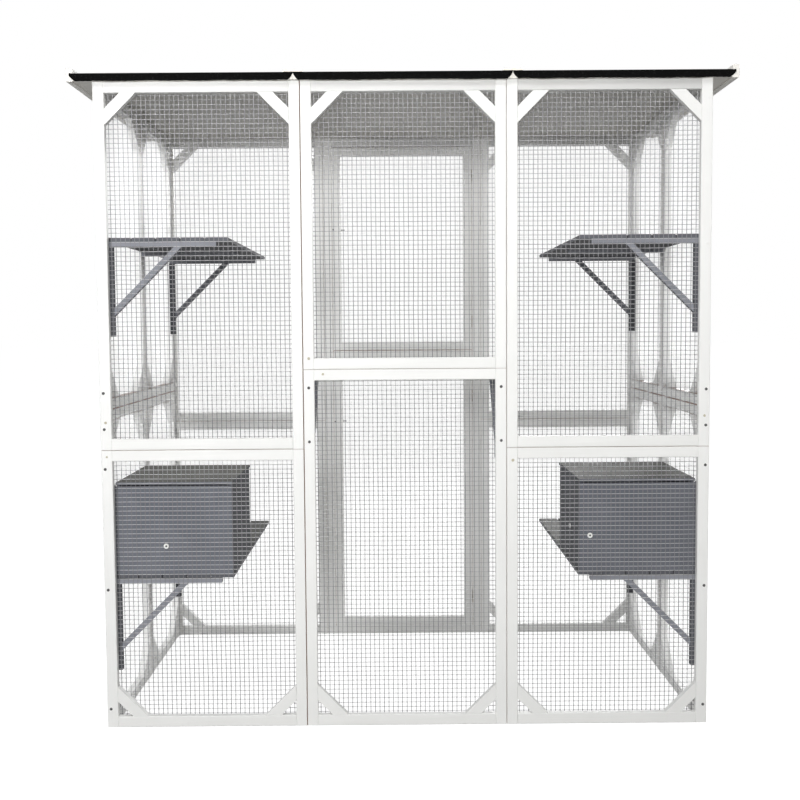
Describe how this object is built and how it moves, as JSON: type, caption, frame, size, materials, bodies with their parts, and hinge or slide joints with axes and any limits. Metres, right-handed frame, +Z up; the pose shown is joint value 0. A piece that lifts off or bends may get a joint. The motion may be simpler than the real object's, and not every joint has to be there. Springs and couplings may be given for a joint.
{
  "type": "cat enclosure",
  "caption": "Walk-in cat enclosure of mesh-covered white timber panels, with a felted roof, stacked doors, grey slatted shelves and hideaway boxes.",
  "frame": {"origin": "on the ground, in the middle of the overall plan", "axes": "+X along the near wall towards its right end, +Y from the near wall to the wall with the doors, +Z up"},
  "size_m": [1.803, 0.98, 1.803],
  "materials": {
    "white_timber": "white satin paint on planed softwood",
    "grey_timber": "slate grey satin paint on softwood",
    "roofing_felt": "black mineral-surfaced roofing felt",
    "welded_mesh": "galvanised welded wire",
    "zinc_steel": "zinc-plated steel",
    "screw_cup": "white plastic"
  },
  "bodies": {
    "enclosure": {"near_upper_left_frame": "white_timber", "near_upper_middle_frame": "white_timber", "near_upper_right_frame": "white_timber", "near_lower_left_frame": "white_timber", "near_lower_middle_frame": "white_timber", "near_lower_right_frame": "white_timber", "far_upper_left_frame": "white_timber", "far_upper_right_frame": "white_timber", "far_lower_left_frame": "white_timber", "far_lower_right_frame": "white_timber", "upper_door_surround": "white_timber", "lower_door_surround": "white_timber", "left_upper_near_frame": "white_timber", "left_upper_far_frame": "white_timber", "left_lower_near_frame": "white_timber", "left_lower_far_frame": "white_timber", "right_upper_near_frame": "white_timber", "right_upper_far_frame": "white_timber", "right_lower_near_frame": "white_timber", "right_lower_far_frame": "white_timber", "near_nets": "welded_mesh", "far_nets": "welded_mesh", "left_nets": "welded_mesh", "right_nets": "welded_mesh", "roof_board_left": "white_timber", "roof_board_middle": "white_timber", "roof_board_right": "white_timber", "roof_felt_left": "roofing_felt", "roof_felt_middle": "roofing_felt", "roof_felt_right": "roofing_felt", "roof_cover_strips": "white_timber", "roof_trim_left": "white_timber", "roof_trim_right": "white_timber", "shelf_upper_left": "grey_timber", "shelf_upper_right": "grey_timber", "shelf_lower_left": "grey_timber", "shelf_lower_right": "grey_timber", "shelf_centre": "grey_timber", "upper_shelf_brackets": "grey_timber", "lower_shelf_brackets": "grey_timber", "centre_shelf_brackets": "grey_timber", "hideaway_left_walls": "grey_timber", "hideaway_right_walls": "grey_timber", "hideaway_left_roof": "grey_timber", "hideaway_right_roof": "grey_timber", "hideaway_screw_cups": "screw_cup", "hinge_frame_leaves": "zinc_steel", "hinge_pins": "zinc_steel", "latch_keepers": "zinc_steel", "wall_screws": "zinc_steel"},
    "upper_door": {"upper_door_frame": "white_timber", "upper_door_net": "welded_mesh", "upper_door_hinge_leaves": "zinc_steel", "upper_latch_housing": "zinc_steel"},
    "lower_door": {"lower_door_frame": "white_timber", "lower_door_net": "welded_mesh", "lower_door_hinge_leaves": "zinc_steel", "lower_latch_housing": "zinc_steel"},
    "upper_bolt": {"upper_latch_bolt": "zinc_steel"},
    "lower_bolt": {"lower_latch_bolt": "zinc_steel"}
  },
  "joints": [
    {"name": "upper_door_hinge", "type": "hinge", "parent": "enclosure", "child": "upper_door", "pos_m": [0.2469, 0.4813, 1.3815], "axis": [0, 0, -1], "range_deg": [0, 170]},
    {"name": "lower_door_hinge", "type": "hinge", "parent": "enclosure", "child": "lower_door", "pos_m": [0.2469, 0.4813, 0.4965], "axis": [0, 0, -1], "range_deg": [0, 170]},
    {"name": "upper_bolt_slide", "type": "slide", "parent": "upper_door", "child": "upper_bolt", "axis": [-1, 0, 0], "range_m": [0, 0.014]},
    {"name": "lower_bolt_slide", "type": "slide", "parent": "lower_door", "child": "lower_bolt", "axis": [-1, 0, 0], "range_m": [0, 0.014]}
  ]
}
